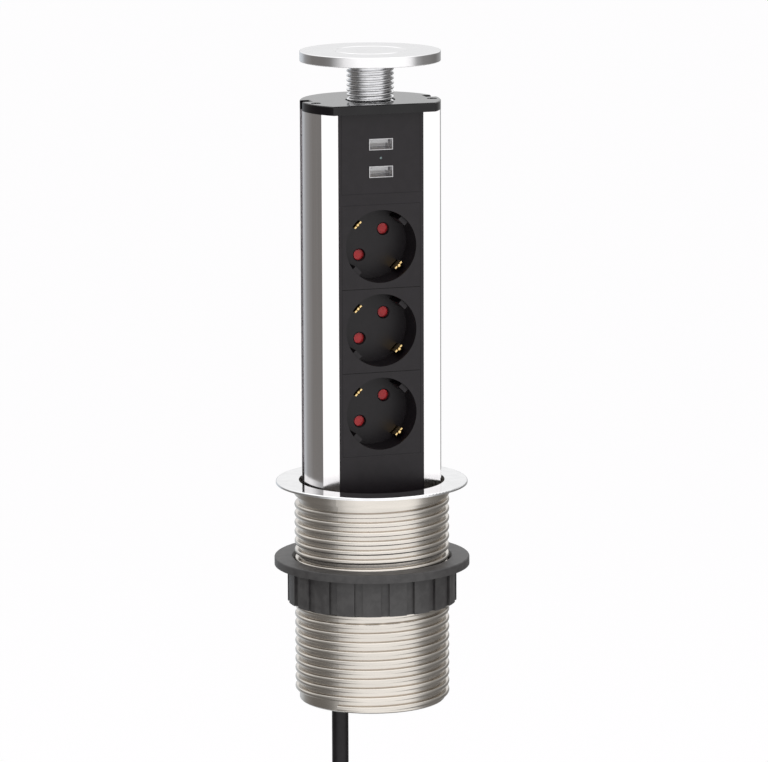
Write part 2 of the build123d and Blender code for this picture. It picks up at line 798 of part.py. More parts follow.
pin_places = [(pin_offset, pin_offset), (-pin_offset, -pin_offset)]
clip_turns = [135, 315]
rib_turns = [45, 225]
slot_radius = recess_radius - clip_root_inset
housing_front = cup_back + seat_gap
chamber_back = housing_front + shutter_chamber_depth
for index, centre_z in enumerate(socket_heights, start=1):
    # Socket front: face, round recess with two guide ribs, pin holes and clip slots
    with BuildPart() as socket_front:
        module_face(centre_z - socket_pitch / 2, centre_z + socket_pitch / 2)
        with BuildSketch(front_plane(front_y)):
            with Locations((0, centre_z)):
                Circle(recess_radius + cup_wall)
        extrude(amount=-(recess_depth + cup_floor))
        with BuildSketch(front_plane(cup_back)):
            with Locations((0, centre_z)):
                Circle(shutter_boss_radius)
        extrude(amount=-(shutter_chamber_depth - slide_gap))
        with BuildSketch(front_plane(front_y)):
            with Locations((0, centre_z)):
                Circle(recess_radius)
                for turn in rib_turns:
                    with Locations(Rotation(0, 0, turn)):
                        with Locations((recess_radius - rib_height / 2 + rib_sink, 0)):
                            Rectangle(rib_height + 2 * rib_sink, rib_width, mode=Mode.SUBTRACT)
        extrude(amount=-recess_depth, mode=Mode.SUBTRACT)
        with BuildSketch(front_plane(front_y)):
            with Locations((0, centre_z)):
                Circle(recess_radius)
        extrude(amount=-rib_start, mode=Mode.SUBTRACT)
        with BuildSketch(front_plane(floor_y)):
            with Locations(*[(x, centre_z + z) for x, z in pin_places]):
                Circle(pin_hole_radius)
            with Locations((0, centre_z)):
                for turn in clip_turns:
                    with Locations(Rotation(0, 0, turn)):
                        with Locations((slot_radius, 0)):
                            Rectangle(
                                clip_thickness + 2 * slide_gap, clip_width + 2 * slide_gap
                            )
        extrude(amount=-cup_floor, mode=Mode.SUBTRACT)
        floor_rims = (
            socket_front.edges()
            .filter_by(GeomType.CIRCLE)
            .filter_by(lambda e: abs(e.radius - pin_hole_radius) < 0.01)
            .filter_by(lambda e: abs(e.center().Y - floor_y) < 0.01)
        )
        chamfer(floor_rims, pin_lead_in)
    socket_front.part.label = f"socket_front_{index}"
    export_step(socket_front.part, f"parts/socket_front_{index}.step")

    # Socket housing: closed block behind the front, hollow for shutter and contacts
    with BuildPart() as socket_housing:
        with BuildSketch(front_plane(housing_front)):
            with Locations((0, centre_z)):
                Rectangle(housing_width, housing_height)
        extrude(amount=-housing_depth)
        chamfer(socket_housing.edges().filter_by(Axis.Y), housing_corner)
        with BuildSketch(front_plane(housing_front)):
            with Locations((0, centre_z)):
                Circle(shutter_chamber)
        extrude(amount=-shutter_chamber_depth, mode=Mode.SUBTRACT)
        with BuildSketch(front_plane(chamber_back)):
            with Locations(*[(x, centre_z + z) for x, z in pin_places]):
                Circle(contact_bore_radius + contact_wall + seat_gap)
        extrude(amount=-(contact_length + seat_gap), mode=Mode.SUBTRACT)
        with BuildSketch(front_plane(housing_front)):
            with Locations((0, centre_z)):
                for turn in clip_turns:
                    with Locations(Rotation(0, 0, turn)):
                        with Locations((slot_radius, 0)):
                            Rectangle(
                                clip_thickness + 2 * slide_gap, clip_width + 2 * slide_gap
                            )
        extrude(amount=-clip_tail, mode=Mode.SUBTRACT)
    socket_housing.part.label = f"socket_housing_{index}"
    export_step(socket_housing.part, f"parts/socket_housing_{index}.step")

    # Live contacts: two split brass sleeves behind the pin holes
    with BuildPart() as live_contacts:
        with BuildSketch(front_plane(chamber_back)):
            with Locations(*[(x, centre_z + z) for x, z in pin_places]):
                Circle(contact_bore_radius + contact_wall)
                Circle(contact_bore_radius, mode=Mode.SUBTRACT)
                Rectangle(
                    3 * contact_bore_radius + 2 * contact_wall,
                    contact_slot,
                    mode=Mode.SUBTRACT,
                )
        extrude(amount=-contact_length)
        with BuildSketch(front_plane(chamber_back + contact_length)):
            with Locations(*[(x, centre_z + z) for x, z in pin_places]):
                Circle(contact_bore_radius + contact_wall)
        extrude(amount=contact_base)
    live_contacts.part.label = f"live_contacts_{index}"
    export_step(live_contacts.part, f"parts/live_contacts_{index}.step")

    # Earth clips: two bowed strips that stand on the recess floor, each with a round nose
    with BuildPart() as earth_clips:
        for turn in clip_turns:
            across = Vector(cos(radians(turn)), 0, sin(radians(turn)))
            clip_plane = Plane(
                origin=(0, front_y, centre_z),
                x_dir=across,
                z_dir=Vector(across.Z, 0, -across.X),
            )
            with BuildSketch(clip_plane):
                with BuildLine():
                    Polyline(
                        (slot_radius, -recess_depth - cup_floor - clip_tail + slide_gap),
                        (slot_radius, -recess_depth + clip_foot),
                        (recess_radius - clip_inset, -0.5 * recess_depth),
                        (recess_radius - clip_inset, -clip_tip_depth - clip_nose_radius),
                    )
                trace(line_width=clip_thickness)
            extrude(amount=clip_width / 2, both=True)
            with Locations(clip_plane.location):
                with Locations(
                    (recess_radius - clip_inset + clip_nose_set, -clip_tip_depth - clip_nose_radius)
                ):
                    Sphere(clip_nose_radius)
    earth_clips.part.label = f"earth_clips_{index}"
    export_step(earth_clips.part, f"parts/earth_clips_{index}.step")

    # Shutter: red bar on the front's boss that covers both pin holes
    with BuildPart() as shutter:
        with BuildSketch(front_plane(cup_back + slide_gap)):
            with Locations((0, centre_z)):
                with Locations(Rotation(0, 0, 45)):
                    Rectangle(pin_spacing, shutter_bar_width)
                Circle(shutter_hub_radius)
            with Locations(*[(x, centre_z + z) for x, z in pin_places]):
                Circle(shutter_lobe_radius)
            with Locations((0, centre_z)):
                Circle(shutter_boss_radius + hinge_gap, mode=Mode.SUBTRACT)
        extrude(amount=-shutter_thickness)
    shutter.part.label = f"shutter_{index}"
    export_step(shutter.part, f"parts/shutter_{index}.step")

# Bus bars behind the housings: line, neutral and earth
bar_front = housing_front + housing_depth + seat_gap
bar_places = [-bar_spacing, 0, bar_spacing]
with BuildPart() as bus_bars:
    with BuildSketch(front_plane(bar_front)):
        with Locations(*[(x, (bar_bottom + bar_top) / 2) for x in bar_places]):
            Rectangle(bar_width, bar_top - bar_bottom)
    extrude(amount=-bar_thickness)
bus_bars.part.label = "bus_bars"
export_step(bus_bars.part, "parts/bus_bars.step")

# Base cap: closes the tower's foot and stops under the guide ring
base_radius = sleeve_bore_radius - slide_gap
base_bottom = tower_bottom - base_thickness
skirt_end = base_bottom - base_skirt
gland_x, gland_y = gland_position
with BuildPart() as base_cap:
    with BuildSketch(Plane.XY.offset(base_bottom)):
        Circle(base_radius)
    extrude(amount=base_thickness)
    with BuildSketch(Plane.XY.offset(skirt_end)):
        Circle(base_radius)
        Circle(base_radius - base_wall, mode=Mode.SUBTRACT)
    extrude(amount=base_skirt)
    with Locations(Plane.XY.offset(base_bottom).rotated((180, 0, 0))):
        with Locations(*[(x, -y) for x, y in front_ports + rear_ports]):
            CounterBoreHole(
                screw_radius + seat_gap, screw_head_radius + seat_gap, screw_head_height
            )
    with BuildSketch(Plane.XY.offset(base_bottom)):
        with Locations(gland_position):
            Circle(gland_radius + seat_gap)
    extrude(amount=base_thickness, mode=Mode.SUBTRACT)
    chamfer(base_cap.edges().group_by(Axis.Z)[-1].sort_by(SortBy.RADIUS)[-1], base_edge)
base_cap.part.label = "base_cap"
export_step(base_cap.part, "parts/base_cap.step")

# Screws that hold the base cap to the profile's four ports
base_screws = screw(base_bottom, front_ports + rear_ports, down=False)
base_screws.label = "base_screws"
export_step(base_screws, "parts/base_screws.step")

# Terminal block that stands on the base cap
block_top = tower_bottom + seat_gap + terminal_height
block_places = [-terminal_spacing, 0, terminal_spacing]
with BuildPart() as terminal_block:
    with BuildSketch(Plane.XY.offset(tower_bottom + seat_gap)):
        with Locations((0, terminal_y)):
            Rectangle(terminal_width, terminal_depth)
    extrude(amount=terminal_height)
    chamfer(terminal_block.edges().filter_by(Axis.Z), terminal_corner)
    with BuildSketch(front_plane(terminal_y - terminal_depth / 2)):
        with Locations(*[(x, block_top - terminal_height / 3) for x in block_places]):
            Circle(terminal_hole_radius)
    extrude(amount=-terminal_depth / 3, mode=Mode.SUBTRACT)
terminal_block.part.label = "terminal_block"
export_step(terminal_block.part, "parts/terminal_block.step")


def tube(route, bend, radius):
    """Solid round tube along straight runs joined by tangent arcs."""
    with BuildPart() as run:
        with BuildLine() as path:
            FilletPolyline(*route, radius=bend)
        with BuildSketch(Plane(path.line @ 0, z_dir=path.line % 0)):
            Circle(radius)
        sweep(path=path.line)
    return run.part


# Inner wires from the terminal block up to the bus bars
wire_y = bar_front + bar_thickness / 2
wire_turn = (block_top + bar_bottom) / 2
with BuildPart() as inner_wires:
    for x, bar_x in zip(block_places, bar_places):
        wire_route = [
            (x, terminal_y, block_top),
            (x, terminal_y, wire_turn),
            (bar_x, wire_y, wire_turn),
            (bar_x, wire_y, bar_bottom),
        ]
        add(tube(wire_route, wire_bend, wire_radius))
inner_wires.part.label = "inner_wires"
export_step(inner_wires.part, "parts/inner_wires.step")

# Cores of the mains cord from the gland to the terminal block
gland_top = tower_bottom + gland_flange
block_back = terminal_y + terminal_depth / 2
with BuildPart() as supply_cores:
    for step in (-1, 0, 1):
        core_x = gland_x + step * core_spacing
        core_route = [
            (core_x, gland_y, gland_top),
            (core_x, gland_y, gland_top + core_rise),
            (core_x, block_back, gland_top + core_rise),
        ]
        add(tube(core_route, wire_bend, wire_radius))
supply_cores.part.label = "supply_cores"
export_step(supply_cores.part, "parts/supply_cores.step")

# Cable gland with its tapered boot
with BuildPart() as cable_gland:
    with BuildSketch(Plane((gland_x, gland_y, 0), x_dir=(1, 0, 0), z_dir=(0, -1, 0))):
        with BuildLine():
            Polyline(
                (0, gland_top),
                (gland_flange_radius, gland_top),
                (gland_flange_radius, tower_bottom),
                (gland_radius, tower_bottom),
                (gland_radius, base_bottom),
                (gland_flange_radius, base_bottom),
                (gland_flange_radius, base_bottom - gland_flange),
                (boot_top_radius, base_bottom - gland_flange),
                (boot_end_radius, cord_start_z),
                (0, cord_start_z),
                close=True,
            )
        make_face()
    revolve(axis=Axis((gland_x, gland_y, 0), (0, 0, 1)))
cable_gland.part.label = "cable_gland"
export_step(cable_gland.part, "parts/cable_gland.step")

# Mains cord: straight down from the gland, then leaning over into the coil
cord_radius = cord_diameter / 2
lean = Vector(-sin(pi / 4), 0, -cos(pi / 4))
cord_start = Vector(gland_x, gland_y, cord_start_z)
cord_corner = Vector(gland_x, gland_y, cord_bend_z)
coil_inlet = cord_corner + lean * cord_lean_run
cord_bend = corner_share * cord_lean_run / tan(pi / 8)
power_cord = tube([cord_start, cord_corner, coil_inlet], cord_bend, cord_radius)
power_cord.label = "power_cord"
export_step(power_cord, "parts/power_cord.step")
print("cord bend radius", round(cord_bend, 1))

# Coil of the put-away cord: it spirals in, climbs a layer and spirals out again
spiral_rate = coil_step / (2 * pi)
first_estimate = coil_mean_radius + coil_step * coil_whole_turns / 4
lead_angle = atan(spiral_rate / first_estimate)
start_angle = radians(135) - lead_angle
coil_sweep = 2 * pi * coil_whole_turns + radians(45) + 2 * lead_angle
outer_turn_radius = coil_mean_radius + spiral_rate * coil_sweep / 4
coil_first = coil_inlet + lean * cord_diameter
coil_centre = coil_first - Vector(cos(start_angle), 0, sin(start_angle)) * outer_turn_radius
climb_half = coil_sweep / coil_segments


def coil_point(turned):
    """Middle of the cord in the coil, after this much turning."""
    to_middle = abs(turned - coil_sweep / 2)
    radius = outer_turn_radius - spiral_rate * (coil_sweep / 2 - to_middle)
    climbed = (turned - coil_sweep / 2 + climb_half) / (2 * climb_half)
    climbed = min(max(climbed, 0), 1)
    layer = coil_step * climbed * climbed * (3 - 2 * climbed)
    angle = start_angle + turned
    return coil_centre + Vector(radius * cos(angle), layer, radius * sin(angle))


def coil_direction(turned):
    """Direction of the cord there, by a small step either way."""
    step = 0.001
    return (coil_point(turned + step) - coil_point(turned - step)).normalized()


def biarc(start, start_way, end, end_way):
    """Two tangent arcs from one point and direction to another."""
    chord = end - start
    both = start_way + end_way
    spread = 2 * (1 - start_way.dot(end_way))
    along = chord.dot(both)
    reach = (sqrt(along * along + spread * chord.dot(chord)) - along) / spread
    first_corner = start + start_way * reach
    last_corner = end - end_way * reach
    middle = (first_corner + last_corner) * 0.5
    TangentArc(start, middle, tangent=start_way)
    TangentArc(middle, end, tangent=(last_corner - first_corner).normalized())


tail_way = Vector(0, 0, -1)
turn_stops = [coil_sweep * i / coil_segments for i in range(coil_segments + 1)]
coil_points = [coil_point(turned) for turned in turn_stops]
coil_ways = [coil_direction(turned) for turned in turn_stops]
coil_ways[0] = lean
coil_ways[-1] = tail_way
coil_outlet = coil_points[-1] + tail_way * cord_diameter
with BuildPart() as cord_coil:
    with BuildLine() as coil_line:
        Line(coil_inlet, coil_first)
        for i in range(coil_segments):
            biarc(coil_points[i], coil_ways[i], coil_points[i + 1], coil_ways[i + 1])
        Line(coil_points[-1], coil_outlet)
    with BuildSketch(Plane(coil_inlet, z_dir=lean)):
        Circle(cord_radius)
    sweep(path=coil_line.line)
cord_coil.part.label = "cord_coil"
export_step(cord_coil.part, "parts/cord_coil.step")

coil_wire = Wire(coil_line.edges())
coil_length = coil_wire.length
samples = [coil_wire @ (i / coil_samples) for i in range(coil_samples + 1)]
apart = ceil(4 * cord_diameter / (coil_length / coil_samples))
least_gap = min(
    (samples[i] - samples[j]).length
    for i in range(len(samples))
    for j in range(i + apart, len(samples))
)
print("coil least gap to itself", round(least_gap - cord_diameter, 2))

# Tail of the cord: hangs straight from the coil to the plug
tail_end = coil_outlet + tail_way * cord_tail
with BuildPart() as cord_tail_piece:
    with BuildSketch(Plane(coil_outlet, z_dir=tail_way)):
        Circle(cord_radius)
    extrude(amount=cord_tail)
cord_tail_piece.part.label = "cord_tail"
export_step(cord_tail_piece.part, "parts/cord_tail.step")
corner_cut = 2 * cord_bend * tan(pi / 8) - cord_bend * pi / 4
bent_length = cord_start_z - cord_bend_z + cord_lean_run - corner_cut
cord_length = bent_length + coil_length + cord_tail
print("cord length", round(cord_length, 1))

# Tie round the coil's bundle, at the coil's top
top_turns = [
    coil_point(pi / 2 - start_angle + 2 * pi * (i + 1)) for i in range(coil_whole_turns)
]
bundle_low = min(point.Z for point in top_turns) - cord_radius - 2 * slide_gap
bundle_high = max(point.Z for point in top_turns) + cord_radius + slide_gap
bundle_front = gland_y - cord_radius - slide_gap
bundle_back = gland_y + coil_step + cord_radius + slide_gap
tie_plane = Plane(
    origin=(coil_centre.X, (bundle_front + bundle_back) / 2, (bundle_low + bundle_high) / 2),
    x_dir=(0, 1, 0),
    z_dir=(1, 0, 0),
)
with BuildPart() as coil_tie:
    with BuildSketch(tie_plane):
        RectangleRounded(
            bundle_back - bundle_front + 2 * tie_thickness,
            bundle_high - bundle_low + 2 * tie_thickness,
            tie_corner + tie_thickness,
        )
        RectangleRounded(
            bundle_back - bundle_front, bundle_high - bundle_low, tie_corner, mode=Mode.SUBTRACT
        )
    extrude(amount=tie_width / 2, both=True)
coil_tie.part.label = "coil_tie"
export_step(coil_tie.part, "parts/coil_tie.step")

# Plug body: boot, grip and face, with guide grooves and earth recesses in the face
grip_top = tail_end.Z - plug_boot_length
face_top = grip_top - plug_grip_length
face_bottom = face_top - plug_face_length
plug_plane = Plane((tail_end.X, tail_end.Y, 0), x_dir=(1, 0, 0), z_dir=(0, -1, 0))
plug_face_plane = Plane((tail_end.X, tail_end.Y, face_bottom))
with BuildPart() as plug_body:
    with BuildSketch(plug_plane):
        with BuildLine():
            Polyline(
                (plug_face_radius, face_top),
                (plug_face_radius, face_bottom),
                (0, face_bottom),
                (0, tail_end.Z),
                (plug_boot_radius, tail_end.Z),
                (plug_neck_radius, grip_top),
            )
            Spline(
                (plug_neck_radius, grip_top),
                (plug_face_radius, face_top),
                tangents=((0.2, -1), (0.1, -1)),
            )
        make_face()
    revolve(axis=Axis((tail_end.X, tail_end.Y, 0), (0, 0, 1)))
    with BuildSketch(plug_face_plane):
        with Locations((0, plug_face_radius), (0, -plug_face_radius)):
            Rectangle(plug_slot_width, 2 * plug_slot_depth)
        with Locations((plug_face_radius, 0), (-plug_face_radius, 0)):
            Rectangle(2 * plug_guide_depth, plug_guide_width)
    extrude(amount=plug_face_length - plug_slot_end, mode=Mode.SUBTRACT)
plug_body.part.label = "plug_body"
export_step(plug_body.part, "parts/plug_body.step")

# Plug pins: two solid pins with rounded tips
with BuildPart() as plug_pins:
    with BuildSketch(plug_face_plane):
        with Locations((pin_spacing / 2, 0), (-pin_spacing / 2, 0)):
            Circle(plug_pin_radius)
    extrude(amount=-plug_pin_length)
    fillet(plug_pins.edges().group_by(Axis.Z)[0], plug_pin_tip)
plug_pins.part.label = "plug_pins"
export_step(plug_pins.part, "parts/plug_pins.step")

# Plug earth contacts: strips in the face's side recesses
contact_out = plug_face_radius - plug_slot_depth
with BuildPart() as plug_contacts:
    with BuildSketch(plug_face_plane):
        with Locations(
            (0, contact_out + plug_contact_thickness / 2),
            (0, -contact_out - plug_contact_thickness / 2),
        ):
            Rectangle(plug_contact_width, plug_contact_thickness)
    extrude(amount=plug_contact_length)
plug_contacts.part.label = "plug_contacts"
export_step(plug_contacts.part, "parts/plug_contacts.step")
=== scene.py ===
import json
import math

import bpy
from mathutils import Matrix, Vector

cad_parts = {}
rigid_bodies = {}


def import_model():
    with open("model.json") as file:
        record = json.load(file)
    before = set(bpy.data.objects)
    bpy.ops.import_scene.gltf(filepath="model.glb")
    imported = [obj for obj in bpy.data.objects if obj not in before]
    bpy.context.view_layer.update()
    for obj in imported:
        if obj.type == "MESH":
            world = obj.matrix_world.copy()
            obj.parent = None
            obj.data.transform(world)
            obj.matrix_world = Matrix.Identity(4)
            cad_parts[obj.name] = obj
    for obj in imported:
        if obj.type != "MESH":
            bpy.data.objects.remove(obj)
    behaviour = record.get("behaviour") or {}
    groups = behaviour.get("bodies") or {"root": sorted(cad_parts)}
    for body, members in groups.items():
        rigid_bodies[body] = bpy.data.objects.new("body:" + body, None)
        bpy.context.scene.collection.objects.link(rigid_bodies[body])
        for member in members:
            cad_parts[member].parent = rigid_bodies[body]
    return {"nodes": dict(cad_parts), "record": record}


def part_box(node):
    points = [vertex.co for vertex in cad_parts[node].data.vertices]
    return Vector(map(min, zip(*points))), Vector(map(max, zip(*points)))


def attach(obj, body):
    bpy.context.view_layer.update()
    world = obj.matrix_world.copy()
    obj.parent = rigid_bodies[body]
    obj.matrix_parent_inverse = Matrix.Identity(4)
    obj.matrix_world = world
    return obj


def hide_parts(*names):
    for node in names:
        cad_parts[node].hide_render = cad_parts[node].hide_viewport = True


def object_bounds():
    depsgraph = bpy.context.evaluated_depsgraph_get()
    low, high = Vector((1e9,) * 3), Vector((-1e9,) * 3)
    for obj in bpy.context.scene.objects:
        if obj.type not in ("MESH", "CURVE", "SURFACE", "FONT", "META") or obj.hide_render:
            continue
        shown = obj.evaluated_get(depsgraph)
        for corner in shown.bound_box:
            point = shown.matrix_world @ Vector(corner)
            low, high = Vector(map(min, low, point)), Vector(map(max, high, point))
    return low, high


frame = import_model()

# One millimetre in the scene's metres
MM = 0.001
cad_low, cad_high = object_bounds()
nodes = frame["nodes"]


# Shader maths

NOISE_ROUGHNESS = 0.55
MM_IN_A_METRE = 1000


class Value:
    """A socket of a finish, for arithmetic with other sockets and plain numbers."""

    def __init__(self, finish, socket):
        self.finish = finish
        self.socket = socket

    def maths(self, operation, first, second):
        return self.finish.node("ShaderNodeMath", {"operation": operation}, {0: first, 1: second})

    def __add__(self, other):
        return self.maths("ADD", self, other)

    def __sub__(self, other):
        return self.maths("SUBTRACT", self, other)

    def __rsub__(self, other):
        return self.maths("SUBTRACT", other, self)

    def __mul__(self, other):
        return self.maths("MULTIPLY", self, other)

    def __truediv__(self, other):
        return self.maths("DIVIDE", self, other)

    def __pow__(self, other):
        return self.maths("POWER", self, other)

    __radd__ = __add__
    __rmul__ = __mul__


class Finish:
    """A node tree under construction: a material's or the world's."""

    def __init__(self, tree):
        self.tree = tree
        tree.nodes.clear()

    def node(self, kind, settings=None, inputs=None, output=0):
        made = self.tree.nodes.new(kind)
        for name, value in (settings or {}).items():
            if name == "stops":
                ramp = made.color_ramp
                while len(ramp.elements) < len(value):
                    ramp.elements.new(0.5)
                for element, (place, colour) in zip(ramp.elements, value):
                    element.position = place
                    element.color = colour
            else:
                setattr(made, name, value)
        for name, value in (inputs or {}).items():
            if isinstance(value, Value):
                self.tree.links.new(value.socket, made.inputs[name])
            else:
                made.inputs[name].default_value = value
        return Value(self, made.outputs[output]) if made.outputs else None

    def mix(self, share, first, second):
        """Colour between two colours, by a share from 0 to 1."""
        return self.node(
            "ShaderNodeMix", {"data_type": "RGBA"}, {0: share, 6: first, 7: second}, output=2
        )

    def place(self, scale=(1, 1, 1)):
        """Object coordinates in millimetres, stretched by a scale on each axis."""
        spot = self.node("ShaderNodeTexCoord", output="Object")
        size = [MM_IN_A_METRE * factor for factor in scale]
        return self.node("ShaderNodeMapping", {}, {"Vector": spot, "Scale": size})

    def coordinates(self, output="Object"):
        """The three coordinates of a point or of a direction, each as a value."""
        spot = self.node("ShaderNodeTexCoord", output=output)
        split = self.node("ShaderNodeSeparateXYZ", {}, {0: spot})
        return [Value(self, socket) for socket in split.socket.node.outputs]

    def noise(self, scale, stretch=(1, 1, 1), detail=3.0):
        """Noise with this many features a millimetre."""
        return self.node(
            "ShaderNodeTexNoise",
            {},
            {
                "Vector": self.place(stretch),
                "Scale": scale,
                "Detail": detail,
                "Roughness": NOISE_ROUGHNESS,
            },
        )

    def spread(self, value, low, high):
        """Smooth step from 0 to 1 as a value goes from low to high."""
        return self.node(
            "ShaderNodeMapRange",
            {"interpolation_type": "SMOOTHSTEP"},
            {0: value, 1: low, 2: high, 3: 0.0, 4: 1.0},
        )

    def bump(self, height, depth):
        """Normal of a surface whose height goes up and down by this many millimetres."""
        return self.node(
            "ShaderNodeBump", {}, {"Height": height, "Distance": depth * MM, "Strength": 1.0}
        )


def finish_of(name, base, roughness, metallic, normal, **numbers):
    """Material with one Principled shader: functions make its base, roughness and normal."""
    material = bpy.data.materials.new(name)
    material.use_nodes = True
    finish = Finish(material.node_tree)
    sockets = {
        "Metallic": metallic,
        "Base Color": base(finish),
        "Roughness": roughness(finish),
        "Normal": normal(finish),
        **numbers,
    }
    shader = finish.node("ShaderNodeBsdfPrincipled", {}, sockets)
    finish.node("ShaderNodeOutputMaterial", {}, {"Surface": shader})
    return material


# The part of the noise's range in which one colour goes over into the other
DRIFT_LOW, DRIFT_HIGH = 0.35, 0.65


def shade(first, second, scale, stretch=(1, 1, 1)):
    """Colour that drifts between two colours."""

    def colour(finish):
        share = finish.spread(finish.noise(scale, stretch), DRIFT_LOW, DRIFT_HIGH)
        return finish.mix(share, first, second)

    return colour


def worn(usual, spread, scale, stretch=(1, 1, 1)):
    """Roughness that varies a little, as handling leaves it."""
    return lambda finish: usual - spread + 2 * spread * finish.noise(scale, stretch)


def grain(depth, scale, stretch=(1, 1, 1)):
    """Fine relief of a surface."""
    return lambda finish: finish.bump(finish.noise(scale, stretch, detail=2.0), depth)


def turned_rings(depth, pitch):
    """Fine turning lines round the vertical axis, on flat and on round faces."""

    def relief(finish):
        x, y, z = finish.coordinates()
        radius = (x * x + y * y) ** 0.5
        lines_a_metre = MM_IN_A_METRE / pitch
        line = finish.node(
            "ShaderNodeCombineXYZ", {}, {0: radius * lines_a_metre, 1: z * lines_a_metre, 2: 0.0}
        )
        lines = finish.node("ShaderNodeTexNoise", {}, {"Vector": line, "Scale": 1.0, "Detail": 2.0})
        return finish.bump(lines, depth)

    return relief


def satin_below(height, usual, spread, scale, satin):
    """Handled gloss above a height, in metres, and a coarser satin on the underside."""

    def roughness(finish):
        z = finish.coordinates()[2]
        gloss = worn(usual, spread, scale)(finish)
        return satin + finish.spread(z, height, height + 0.3 * MM) * (gloss - satin)

    return roughness


# Stretch of a pattern that runs along a drawn piece, or round a turned one
ALONG = (1, 1, 0.02)
AROUND = (0.15, 0.15, 1.6)
WHITE = (1, 1, 1, 1)


def tint(red, green, blue):
    return (red, green, blue, 1.0)


cap_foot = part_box("cap")[0].z

finishes = {
    "polished_chrome": finish_of(
        "polished_chrome", shade(tint(0.86, 0.86, 0.87), tint(0.80, 0.80, 0.81), 0.15),
        worn(0.07, 0.025, 0.6), 1.0, grain(0.0015, 1.2),
    ),
    "satin_nickel": finish_of(
        "satin_nickel", shade(tint(0.71, 0.665, 0.61), tint(0.65, 0.61, 0.56), 0.12, AROUND),
        worn(0.22, 0.03, 0.5, AROUND), 1.0, turned_rings(0.0012, 0.5),
    ),
    "cap_metal": finish_of(
        "cap_metal", shade(tint(0.88, 0.87, 0.88), tint(0.85, 0.84, 0.85), 0.1),
        satin_below(cap_foot + 0.2 * MM, 0.14, 0.03, 0.4, 0.6), 1.0, turned_rings(0.0012, 0.4),
    ),
    "aluminium": finish_of(
        "aluminium", shade(tint(0.92, 0.90, 0.905), tint(0.885, 0.865, 0.87), 0.5, ALONG),
        worn(0.15, 0.03, 1.6, ALONG), 1.0, grain(0.001, 3.0, ALONG),
    ),
    "gloss_black": finish_of(
        "gloss_black", shade(tint(0.006, 0.005, 0.006), tint(0.010, 0.009, 0.010), 0.1),
        worn(0.10, 0.03, 0.2), 0.0, grain(0.001, 0.5), **{"Specular IOR Level": 0.33},
    ),
    "black_plastic": finish_of(
        "black_plastic", shade(tint(0.0066, 0.0041, 0.0060), tint(0.0094, 0.0066, 0.0088), 0.25),
        worn(0.42, 0.05, 0.5), 0.0, grain(0.006, 5.0), **{"Specular IOR Level": 0.38},
    ),
    "grey_plastic": finish_of(
        "grey_plastic", shade(tint(0.055, 0.052, 0.052), tint(0.075, 0.072, 0.071), 0.2),
        worn(0.46, 0.06, 0.4), 0.0, grain(0.010, 3.0),
    ),
    # The faint emission is painted light: a glow that brightens the white plastic where the port
    # shells shade it
    "white_plastic": finish_of(
        "white_plastic", shade(tint(0.86, 0.86, 0.85), tint(0.93, 0.93, 0.92), 0.3),
        worn(0.38, 0.05, 0.6), 0.0, grain(0.004, 4.0),
        **{"Emission Color": tint(0.95, 0.95, 1.0), "Emission Strength": 0.08},
    ),
    "red_plastic": finish_of(
        "red_plastic", shade(tint(0.92, 0.035, 0.045), tint(0.80, 0.028, 0.036), 0.6),
        worn(0.30, 0.05, 0.6), 0.0, grain(0.003, 3.0),
    ),
    "contact_brass": finish_of(
        "contact_brass", shade(tint(0.80, 0.58, 0.28), tint(0.70, 0.49, 0.22), 0.8),
        worn(0.28, 0.07, 0.8), 1.0, grain(0.003, 3.0),
    ),
    "gold_clip": finish_of(
        "gold_clip", shade(tint(0.92, 0.68, 0.32), tint(0.80, 0.56, 0.24), 0.8),
        worn(0.20, 0.05, 0.8), 1.0, grain(0.002, 3.0),
    ),
    "port_steel": finish_of(
        "port_steel", shade(tint(0.60, 0.59, 0.60), tint(0.50, 0.49, 0.50), 0.6),
        worn(0.30, 0.06, 1.0), 1.0, grain(0.002, 3.0),
    ),
    "screw_steel": finish_of(
        "screw_steel", shade(tint(0.62, 0.62, 0.62), tint(0.52, 0.52, 0.52), 0.8),
        worn(0.30, 0.06, 1.0), 1.0, grain(0.003, 3.0),
    ),
    "spring_steel": finish_of(
        "spring_steel", shade(tint(0.55, 0.55, 0.55), tint(0.44, 0.44, 0.45), 0.8),
        worn(0.26, 0.05, 1.0), 1.0, grain(0.002, 3.0),
    ),
    "pin_metal": finish_of(
        "pin_metal", shade(tint(0.76, 0.75, 0.72), tint(0.68, 0.67, 0.64), 0.5, ALONG),
        worn(0.24, 0.06, 0.8, ALONG), 1.0, grain(0.003, 2.0, ALONG),
    ),
    "board_green": finish_of(
        "board_green", shade(tint(0.02, 0.13, 0.05), tint(0.03, 0.18, 0.08), 0.7),
        worn(0.40, 0.06, 0.7), 0.0, grain(0.01, 2.0),
    ),
    "clear_light": finish_of(
        "clear_light", shade(tint(0.15, 0.20, 0.20), tint(0.20, 0.26, 0.26), 2.0),
        worn(0.2, 0.05, 2.0), 0.0, grain(0.003, 4.0),
        **{"Emission Color": tint(0.75, 0.95, 0.95), "Emission Strength": 0.03},
    ),
    "core_sleeving": finish_of(
        "core_sleeving", shade(tint(0.20, 0.09, 0.04), tint(0.26, 0.12, 0.05), 0.5),
        worn(0.45, 0.05, 0.8), 0.0, grain(0.004, 3.0),
    ),
    "black_rubber": finish_of(
        "black_rubber", shade(tint(0.0055, 0.004, 0.0055), tint(0.010, 0.008, 0.010), 0.3),
        worn(0.42, 0.06, 0.5), 0.0, grain(0.012, 2.5), **{"Specular IOR Level": 0.33},
    ),
    "plug_black": finish_of(
        "plug_black", shade(tint(0.012, 0.011, 0.013), tint(0.020, 0.018, 0.021), 0.2),
        worn(0.44, 0.06, 0.5), 0.0, grain(0.010, 3.5),
    ),
}

slot_of = {row["node"]: row["material_slot"] for row in frame["record"]["subparts"]}


